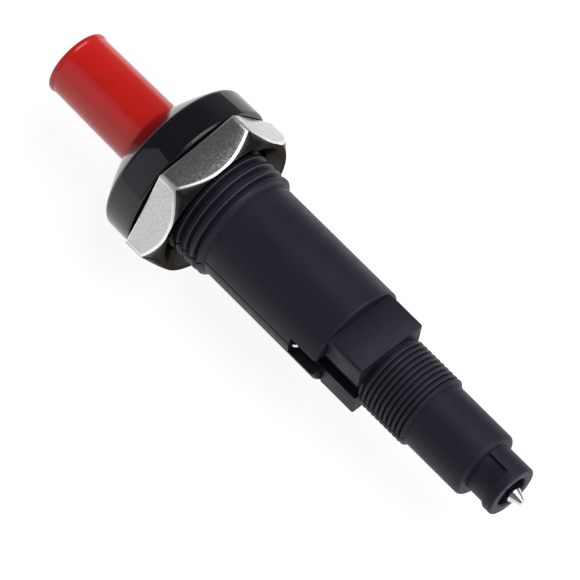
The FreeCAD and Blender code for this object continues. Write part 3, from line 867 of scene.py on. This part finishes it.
def make_sleeve():
    """Glossy domed bezel and matte barrel, one moulding, with its parting line."""
    outline = [
        (DOME_FRONT, HOLE_R),
        *bulged((DOME_FRONT, HOLE_R), (RIM_FRONT, RIM_R), DOME_BULGE),
        (RIM_FRONT, RIM_R),
        (0, RIM_R),
        (0, BARREL_R),
        (BARREL_END - BARREL_END_CHAMFER, BARREL_R),
        (BARREL_END, BARREL_R - BARREL_END_CHAMFER),
        (BARREL_END, BARREL_BORE_R),
        (STOP_FACE, BARREL_BORE_R),
        (STOP_FACE, HOLE_R),
    ]
    rim = outline.index((RIM_FRONT, RIM_R))
    radii = {
        0: HOLE_ROUND,
        rim: RIM_FRONT_ROUND,
        rim + 1: RIM_REAR_ROUND,
        rim + 3: BARREL_ROOT_ROUND,
        rim + 4: BARREL_END_ROUND,
        rim + 5: BARREL_END_ROUND,
    }
    sleeve = lathe("front_sleeve_shell", rounded(outline, radii), BODY_BLACK)
    side = WINDOW_WIDTH / 2
    across = (BARREL_BORE_R / 2, BARREL_R + OVERRUN)
    window = block("window", across, (WINDOW_FRONT, BARREL_END + OVERRUN), (-side, side))
    return join_or_cut(sleeve, window, "DIFFERENCE")


def make_parting_line():
    """The thin raised seam that the mould leaves along the barrel."""
    return block(
        "parting_seam",
        (BARREL_R - SEAM_DEPTH, BARREL_R + SEAM_HEIGHT),
        (STEM_THREAD_END - THREAD_LAP, WINDOW_FRONT),
        (SEAM_Z - SEAM_HALF_WIDTH, SEAM_Z + SEAM_HALF_WIDTH),
        BODY_BLACK,
    )


def make_stem_thread(tree):
    """The coarse thread behind the bezel, notched where the mould parts."""
    return grown(
        "stem_thread", tree, BODY_BLACK,
        Crest_Radius=STEM_CREST_R, Root_Radius=STEM_ROOT_R, Inner_Radius=BARREL_R - THREAD_LAP,
        Pitch=STEM_PITCH, Crest_Width=0.70, Root_Width=0.42, Edge_Break=0.10,
        Start=THREAD_START, End=STEM_THREAD_END, End_Slope=1.0,
        Notch_Place=92.0, Notch_Width=1.3, Notch_Depth=0.45, Turns=10, Columns=192)


def make_nut():
    """Hexagon with broken corners, a turned chamfer and a countersink behind."""
    y0, y1 = NUT_LOW.y, NUT_HIGH.y
    bm = bmesh.new()
    ends = []
    for y in (y0 - OVERRUN, y1 + OVERRUN):
        ring = []
        for step in range(6):
            angle = math.radians(60 * step - NUT_TURN_DEG)
            x, z = math.cos(angle), math.sin(angle)
            ring.append(bm.verts.new((NUT_CORNER_R * MM * x, y * MM, NUT_CORNER_R * MM * z)))
        ends.append(ring)
        bm.faces.new(ring)
    for step in range(6):
        after = (step + 1) % 6
        bm.faces.new([ends[0][step], ends[0][after], ends[1][after], ends[1][step]])
    nut = made_object("hexagon_nut", mesh_of(bm, "hexagon_nut"), NUT_NICKEL)
    drop = (NUT_TURNED_R - NUT_REAR_R) * math.tan(math.radians(NUT_CHAMFER_DEG))
    blank = lathe("nut_blank", [
        (y0, NUT_BORE_R + NUT_LEAD_IN),
        (y0, NUT_TURNED_R),
        (y1 - drop, NUT_TURNED_R),
        (y1, NUT_REAR_R),
        (y1, NUT_BORE_R + NUT_COUNTERSINK),
        (y1 - NUT_COUNTERSINK, NUT_BORE_R),
        (y0 + NUT_LEAD_IN, NUT_BORE_R),
    ], NUT_NICKEL, columns=120, first_deg=90 + NUT_TURN_DEG)
    nut = join_or_cut(nut, blank, "INTERSECT")
    # Second material: the painted highlight on the rounded edges.
    nut.data.materials.append(NUT_EDGE_HIGHLIGHT)
    soften_flats(nut, NUT_EDGE)
    return settle(nut)


def soften_flats(nut, width):
    """Rounds the edges of the nut's six flats; the new faces take its second material, a near-white
    metal that paints in the highlight along the edges.
    """
    bm = bmesh.new()
    bm.from_mesh(nut.data)
    bmesh.ops.dissolve_limit(bm, angle_limit=math.radians(0.5), verts=bm.verts, edges=bm.edges)
    least_area = 20 * MM * MM
    flats = [face for face in bm.faces if abs(face.normal.y) < 0.02 and face.calc_area() > least_area]
    edges = {edge for face in flats for edge in face.edges if edge.calc_face_angle(0) > math.radians(15)}
    bmesh.ops.bevel(
        bm, geom=list(edges), offset=width * MM, segments=3, profile=0.5, affect="EDGES",
        clamp_overlap=False, material=1)
    bm.to_mesh(nut.data)
    bm.free()


def make_button():
    """Red button with draft, a thin lip at its top and a collar behind the bezel."""
    top = BUTTON_LOW.y
    outline = [
        (top, 0),
        (top, BUTTON_LIP_R),
        (top + BUTTON_LIP_HEIGHT, BUTTON_LIP_R),
        (top + BUTTON_LIP_HEIGHT + BUTTON_LIP_SLOPE, BUTTON_TOP_R),
        (DOME_FRONT, BUTTON_ROOT_R),
        (COLLAR_FRONT, BUTTON_ROOT_R),
        (COLLAR_FRONT, BUTTON_HIGH.x),
        (BUTTON_HIGH.y, BUTTON_HIGH.x),
        (BUTTON_HIGH.y, STEM_SEAT_R),
        (CAM_LOW.y, STEM_SEAT_R),
        (CAM_LOW.y, BUTTON_CORE_R),
        (top + BUTTON_TOP_WALL, BUTTON_CORE_R),
        (top + BUTTON_TOP_WALL, 0),
    ]
    radii = {
        1: BUTTON_TOP_ROUND,
        2: BUTTON_LIP_ROUND,
        3: BUTTON_LIP_ROUND,
        6: COLLAR_ROUND,
        7: COLLAR_ROUND,
    }
    return lathe("red_button", rounded(outline, radii), RED)


def make_square_block():
    """The square block between spigot and neck, its edges rounded."""
    half = BLOCK_HALF
    corners = [(-half, -half), (half, -half), (half, half), (-half, half)]
    outline = rounded(corners, dict.fromkeys(range(4), BLOCK_EDGE_R), 6)
    square = prism("square_block", outline, (BLOCK_FRONT, BLOCK_REAR), REAR_BLACK)
    return bevelled(square, BLOCK_END_EDGE, angle_deg=60, segments=2)


def rear_bore():
    """All that is bored out along the axis, from the guide's seat to the nozzle's mouth."""
    return lathe("bore", [
        (REAR_LOW.y - OVERRUN, 0),
        (REAR_LOW.y - OVERRUN, SPIGOT_BORE_R),
        (GUIDE_HIGH.y, SPIGOT_BORE_R),
        (GUIDE_HIGH.y, LIP_BORE_R),
        (CHAMBER_FRONT, LIP_BORE_R),
        (CHAMBER_FRONT, CHAMBER_R),
        (CHAMBER_REAR, CHAMBER_R),
        (CHAMBER_REAR, PIN_HEAD_R + PIN_HEAD_PLAY),
        (PIN_HEAD_REAR, PIN_HEAD_R + PIN_HEAD_PLAY),
        (PIN_HEAD_REAR, PIN_SHANK_R + PIN_PLAY),
        (SOCKET_FLOOR, PIN_SHANK_R + PIN_PLAY),
        (SOCKET_FLOOR, SOCKET_R),
        (MOUTH_FRONT, SOCKET_R),
        (MOUTH_FRONT + MOUTH_CHAMFER, SOCKET_R + MOUTH_CHAMFER),
        (NOZZLE_END + OVERRUN, SOCKET_R + MOUTH_CHAMFER),
        (NOZZLE_END + OVERRUN, 0),
    ])


def nozzle_relief():
    """The cut on one side of the nozzle, between the neck and a short slope."""
    front = NECK_REAR + 2 * HAIR
    slope_front = NECK_REAR + NOZZLE_RELIEF_LENGTH
    slope_rear = slope_front + NOZZLE_RELIEF_SLOPE
    ring = lathe("relief", [
        (front, NOZZLE_RELIEF_R),
        (front, NOZZLE_R + OVERRUN),
        (slope_rear, NOZZLE_R + OVERRUN),
        (slope_rear, NOZZLE_R),
        (slope_front, NOZZLE_RELIEF_R),
    ])
    reach = 2 * REAR_HIGH.x
    along = (NECK_REAR - OVERRUN, NOZZLE_END + OVERRUN)
    one_side = block("one_side", (0, reach), along, (-reach, reach))
    return join_or_cut(ring, one_side, "INTERSECT")


def make_rear_insulator():
    """Spigot, square block, neck and nozzle, with its bore, side groove and nozzle relief."""
    outline = [
        (REAR_LOW.y, 0),
        (REAR_LOW.y, SPIGOT_R),
        (BLOCK_FRONT, SPIGOT_R),
        (BLOCK_FRONT, NECK_R),
        (NECK_REAR, NECK_R),
        (NECK_REAR, NOZZLE_R),
        (NOZZLE_END, NOZZLE_R),
        (NOZZLE_END, 0),
    ]
    radii = {4: NECK_ROUND, 5: NOZZLE_ROOT_ROUND, 6: NOZZLE_ROUND}
    body = lathe("rear_insulator_body", rounded(outline, radii), REAR_BLACK)
    body = join_or_cut(body, make_square_block(), "UNION")
    body = join_or_cut(body, rear_bore(), "DIFFERENCE")
    side = GROOVE_WIDTH / 2
    across = (BLOCK_HALF - GROOVE_DEPTH, SPIGOT_R + OVERRUN)
    along = (WINDOW_FRONT - GROOVE_RUN_IN, BLOCK_REAR + HAIR)
    body = join_or_cut(body, block("groove", across, along, (-side, side)), "DIFFERENCE")
    return join_or_cut(body, nozzle_relief(), "DIFFERENCE")


def make_rear_thread(tree):
    """The fine thread behind the block, notched where the mould parts."""
    return grown(
        "rear_thread", tree, REAR_BLACK,
        Crest_Radius=REAR_CREST_R, Root_Radius=REAR_ROOT_R, Inner_Radius=NECK_R - THREAD_LAP,
        Pitch=REAR_PITCH, Crest_Width=0.36, Root_Width=0.20, Edge_Break=0.06,
        Start=BLOCK_REAR + THREAD_START, End=NECK_FRONT, End_Slope=1.0,
        Notch_Place=92.0, Notch_Width=1.0, Notch_Depth=0.2, Turns=15, Columns=160)


def make_pin():
    """Headed electrode with a collar and a blunt conical point."""
    outline = [
        (CHAMBER_REAR, 0),
        (CHAMBER_REAR, PIN_HEAD_R),
        (PIN_HEAD_REAR, PIN_HEAD_R),
        (PIN_HEAD_REAR, PIN_SHANK_R),
        (SOCKET_FLOOR, PIN_SHANK_R),
        (SOCKET_FLOOR, PIN_R),
        (PIN_COLLAR - PIN_COLLAR_HALF - PIN_COLLAR_SLOPE, PIN_R),
        (PIN_COLLAR - PIN_COLLAR_HALF, PIN_COLLAR_R),
        (PIN_COLLAR + PIN_COLLAR_HALF, PIN_COLLAR_R),
        (PIN_HIGH.y, PIN_TIP_R),
        (PIN_HIGH.y, 0),
    ]
    radii = {7: PIN_COLLAR_FRONT_ROUND, 8: PIN_COLLAR_REAR_ROUND, 9: PIN_TIP_ROUND}
    return lathe("electrode", rounded(outline, radii), PIN_NICKEL, columns=72)


def make_return_spring(tree):
    """Wide coil between the button's collar and the guide sleeve."""
    return grown(
        "return_coil", tree, SPRING_STEEL, Coil_Radius=RETURN_COIL_R, Wire_Radius=RETURN_WIRE_R,
        Start=BUTTON_HIGH.y + SPRING_GAP, End=GUIDE_LOW.y - SPRING_GAP,
        Closed_Rise=0.84, Turns=5, Steps=36, Sides=12)


def make_impact_spring(tree, seat, face):
    """Narrow coil between the cam sleeve's floor and the hammer."""
    return grown(
        "impact_coil", tree, SPRING_STEEL, Coil_Radius=IMPACT_COIL_R, Wire_Radius=IMPACT_WIRE_R,
        Start=seat + SPRING_GAP, End=face - SPRING_GAP,
        Closed_Rise=0.66, Turns=8, Steps=32, Sides=10)


def dress():
    """Makes every piece and says what it rides on, replaces and is made of.

    The button goes in by 10 mm, and the hammer follows it by 7 mm, so their spring loses 3 mm.
    """
    thread = thread_tree()
    coil = coil_tree()
    sleeve = make_sleeve()
    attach(sleeve, "body")
    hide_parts("front_sleeve")
    for extra in (make_parting_line(), make_stem_thread(thread), make_rear_thread(thread)):
        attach(extra, "body")
    rear = make_rear_insulator()
    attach(rear, "body")
    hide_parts("rear_insulator")
    pin = make_pin()
    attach(pin, "body")
    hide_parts("electrode_pin")
    nut = make_nut()
    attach(nut, "nut")
    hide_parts("panel_nut")
    button = make_button()
    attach(button, "button")
    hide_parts("push_button")
    return_spring = make_return_spring(coil)
    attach(return_spring, "body")
    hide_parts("return_spring")
    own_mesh(return_spring)
    seat = CAM_LOW.y + CAM_FLOOR
    face = HAMMER_LOW.y + HAMMER_PILOT
    impact_spring = make_impact_spring(coil, seat, face)
    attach(impact_spring, "button")
    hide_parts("impact_spring")
    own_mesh(impact_spring)


def repaint():
    """Gives every CAD node the finish that its piece has."""
    finishes = {
        "front_sleeve": BODY_BLACK,
        "rear_insulator": REAR_BLACK,
        "panel_nut": NUT_NICKEL,
        "push_button": RED,
        "electrode_pin": PIN_NICKEL,
        "return_spring": SPRING_STEEL,
        "impact_spring": SPRING_STEEL,
        "cam_sleeve": ACETAL,
        "guide_sleeve": NYLON,
        "hammer": STEEL,
        "hammer_pin": SPRING_STEEL,
        "anvil": STEEL,
        "ground_strip": STRIP_NICKEL,
        "crystal_tube": NYLON,
        "front_crystal": CERAMIC,
        "rear_crystal": CERAMIC,
        "crystal_shim": BRASS,
        "contact_slug": BRASS,
    }
    for name, material in finishes.items():
        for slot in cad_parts[name].material_slots:
            slot.material = material


# Camera, floor and light, in metres

FLOOR_GAP = 0.0003
FLOOR_HALF = 0.30
DOME_STOPS = ((0.30, (0.26, 0.27, 0.29)), (0.80, (0.13, 0.13, 0.14)))


def make_camera():
    """The photograph's view: a long lens, nearer the pin, the axis running down to the right."""
    focal_px, frame_px = 5843.0, 580.0
    toward = Vector((0.402, 0.311, 0.861)).normalized()
    roll = math.radians(44.75)
    aim = Vector((0, 23.74 * MM, 0))
    aim_px = (294.9, 277.9)
    distance = 0.950
    axis = Vector((0, 1, 0))
    down_right = (axis - toward * axis.dot(toward)).normalized()
    across = toward.cross(down_right)
    right = math.cos(roll) * down_right + math.sin(roll) * across
    up = math.cos(roll) * across - math.sin(roll) * down_right
    aside = (aim_px[0] - frame_px / 2) / focal_px * distance
    above = (frame_px / 2 - aim_px[1]) / focal_px * distance
    place = aim - right * aside - up * above + toward * distance
    data = bpy.data.cameras.new("camera")
    data.sensor_width = 36.0
    data.lens = focal_px / frame_px * data.sensor_width
    data.clip_start, data.clip_end = 0.01, 20.0
    camera = bpy.data.objects.new("camera", data)
    bpy.context.scene.collection.objects.link(camera)
    turn = Matrix((right, up, toward)).transposed().to_4x4()
    camera.matrix_world = Matrix.Translation(place) @ turn
    bpy.context.scene.camera = camera


def lamp(name, direction, distance, size, power, colour=(1, 1, 1)):
    """A rectangular soft light that faces the middle of the object."""
    middle = Vector((0, 0.024, 0))
    data = bpy.data.lights.new(name, "AREA")
    data.shape = "RECTANGLE"
    data.size, data.size_y = size
    data.energy = power
    data.color = colour
    made = bpy.data.objects.new(name, data)
    bpy.context.scene.collection.objects.link(made)
    back = Vector(direction).normalized()
    made.location = middle + back * distance
    made.rotation_mode = "QUATERNION"
    made.rotation_quaternion = (-back).to_track_quat("-Z", "Y")


def seen_rays(tree):
    """1 for camera, glossy and transmission rays."""
    path = tree.nodes.new("ShaderNodeLightPath").outputs
    bent = calc(tree, "MAXIMUM", path["Is Glossy Ray"], path["Is Transmission Ray"])
    return calc(tree, "MAXIMUM", path["Is Camera Ray"], bent)


def make_floor():
    """A floor that catches the shadow, and looks white to the rays that see it."""
    material = bpy.data.materials.new("floor_white")
    material.use_nodes = True
    tree = material.node_tree
    tree.nodes.clear()
    plain = tree.nodes.new("ShaderNodeBsdfDiffuse")
    plain.inputs["Color"].default_value = (0.80, 0.80, 0.80, 1)
    seen = tree.nodes.new("ShaderNodeBsdfDiffuse")
    seen.inputs["Color"].default_value = (0.25, 0.25, 0.25, 1)
    glow = tree.nodes.new("ShaderNodeEmission")
    glow.inputs["Strength"].default_value = 0.90
    both = tree.nodes.new("ShaderNodeAddShader")
    mix = tree.nodes.new("ShaderNodeMixShader")
    out = tree.nodes.new("ShaderNodeOutputMaterial")
    tree.links.new(seen.outputs[0], both.inputs[0])
    tree.links.new(glow.outputs[0], both.inputs[1])
    tree.links.new(seen_rays(tree), mix.inputs[0])
    tree.links.new(plain.outputs[0], mix.inputs[1])
    tree.links.new(both.outputs[0], mix.inputs[2])
    tree.links.new(mix.outputs[0], out.inputs[0])
    level = cad_low.z - FLOOR_GAP
    signs = ((-1, -1), (1, -1), (1, 1), (-1, 1))
    bm = bmesh.new()
    bm.faces.new([bm.verts.new((x * FLOOR_HALF, y * FLOOR_HALF, level)) for x, y in signs])
    floor = made_object("floor", mesh_of(bm, "floor"), material)


def make_world():
    """A grey surround, darker towards the top."""
    world = bpy.data.worlds.new("studio")
    bpy.context.scene.world = world
    world.use_nodes = True
    tree = world.node_tree
    tree.nodes.clear()
    lit = tree.nodes.new("ShaderNodeBackground")
    place = tree.nodes.new("ShaderNodeSeparateXYZ")
    tree.links.new(tree.nodes.new("ShaderNodeTexCoord").outputs["Generated"], place.inputs[0])
    dome = tree.nodes.new("ShaderNodeValToRGB")
    for element, (position, colour) in zip(dome.color_ramp.elements, DOME_STOPS):
        element.position = position
        element.color = (*colour, 1)
    tree.links.new(place.outputs["Z"], dome.inputs["Fac"])
    tree.links.new(dome.outputs["Color"], lit.inputs["Color"])
    out = tree.nodes.new("ShaderNodeOutputWorld")
    tree.links.new(lit.outputs[0], out.inputs[0])


def make_lamps():
    lamp("side_softbox", direction=(0.86, -0.36, 0.36), distance=0.7, size=(0.26, 0.94),
         power=0.4, colour=(0.92, 0.95, 1.0))
    lamp("rear_strip", direction=(-0.40, 0.86, 0.31), distance=0.8, size=(0.34, 0.20), power=1.1)
    lamp("top_softbox", direction=(-0.35, 0.35, 0.9), distance=1.0, size=(0.9, 0.9), power=7.4)


bpy.context.scene.view_settings.view_transform = "Standard"
dress()
repaint()
make_camera()
make_floor()
make_world()
make_lamps()
